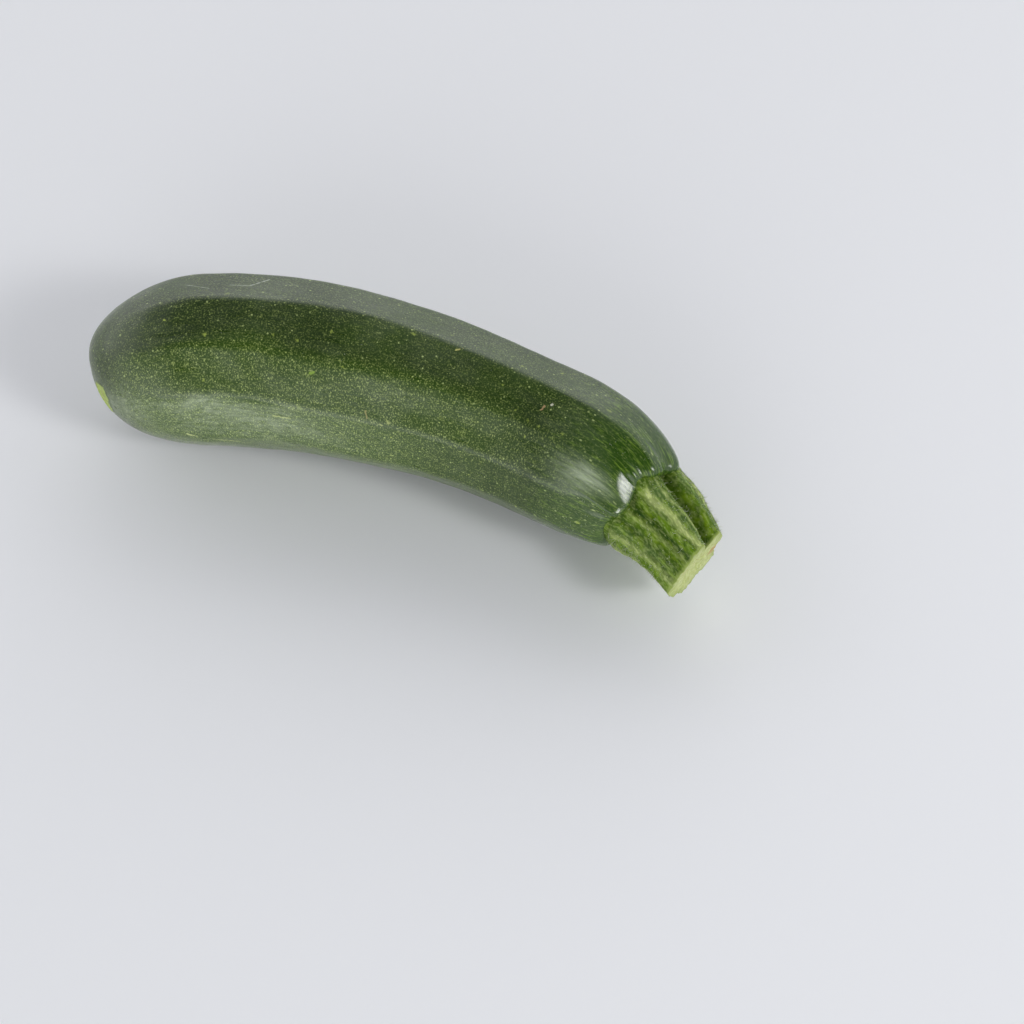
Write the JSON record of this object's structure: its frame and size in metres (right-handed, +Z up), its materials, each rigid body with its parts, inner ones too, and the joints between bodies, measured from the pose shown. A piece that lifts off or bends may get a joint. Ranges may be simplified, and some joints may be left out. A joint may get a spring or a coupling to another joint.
{
  "type": "courgette",
  "caption": "A whole fresh courgette, a dark green bent squash with a pale ribbed stub of cut stem, lying on its side.",
  "frame": {"origin": "middle of the bounding box's bottom, on the table under the fruit", "axes": "+X along the fruit towards the stem, +Z up from the table it lies on, +Y to the outer side of its bend"},
  "size_m": [0.1854, 0.0606, 0.0472],
  "materials": {
    "skin": "satin",
    "stem": "matte"
  },
  "bodies": {
    "root": {"fruit": "skin", "stem": "stem"}
  },
  "joints": []
}
